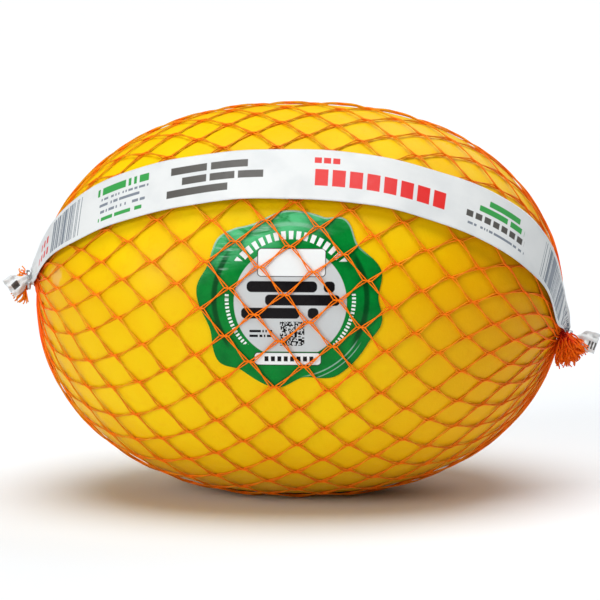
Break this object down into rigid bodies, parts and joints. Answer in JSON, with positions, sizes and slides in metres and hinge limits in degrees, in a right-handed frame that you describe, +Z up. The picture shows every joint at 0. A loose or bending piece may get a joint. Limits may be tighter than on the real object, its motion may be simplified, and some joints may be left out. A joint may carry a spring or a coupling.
{
  "type": "canary melon in net",
  "caption": "Canary melon held in a stretched orange net, with a printed film band, a green seal sticker and crimped wire clips at the gathered ends.",
  "frame": {"origin": "on the floor at the net's lowest knot, under the middle of the melon", "axes": "+X along the melon towards the end with the long fringe, +Y away from the side with the sticker, +Z up"},
  "size_m": [0.2105, 0.1413, 0.1388],
  "materials": {
    "melon_skin": "smooth waxy yellow fruit skin, satin",
    "net_plastic": "orange polyethylene filament, slightly shiny",
    "label_film": "white printed plastic film, soft gloss",
    "seal_print": "green glossy printed sticker with a pale disc",
    "clip_metal": "drawn aluminium wire, crimped"
  },
  "bodies": {
    "root": {"melon": "melon_skin", "net": "net_plastic", "label_band": "label_film", "seal_sticker": "seal_print", "clip_left": "clip_metal", "clip_right": "clip_metal"}
  },
  "joints": []
}
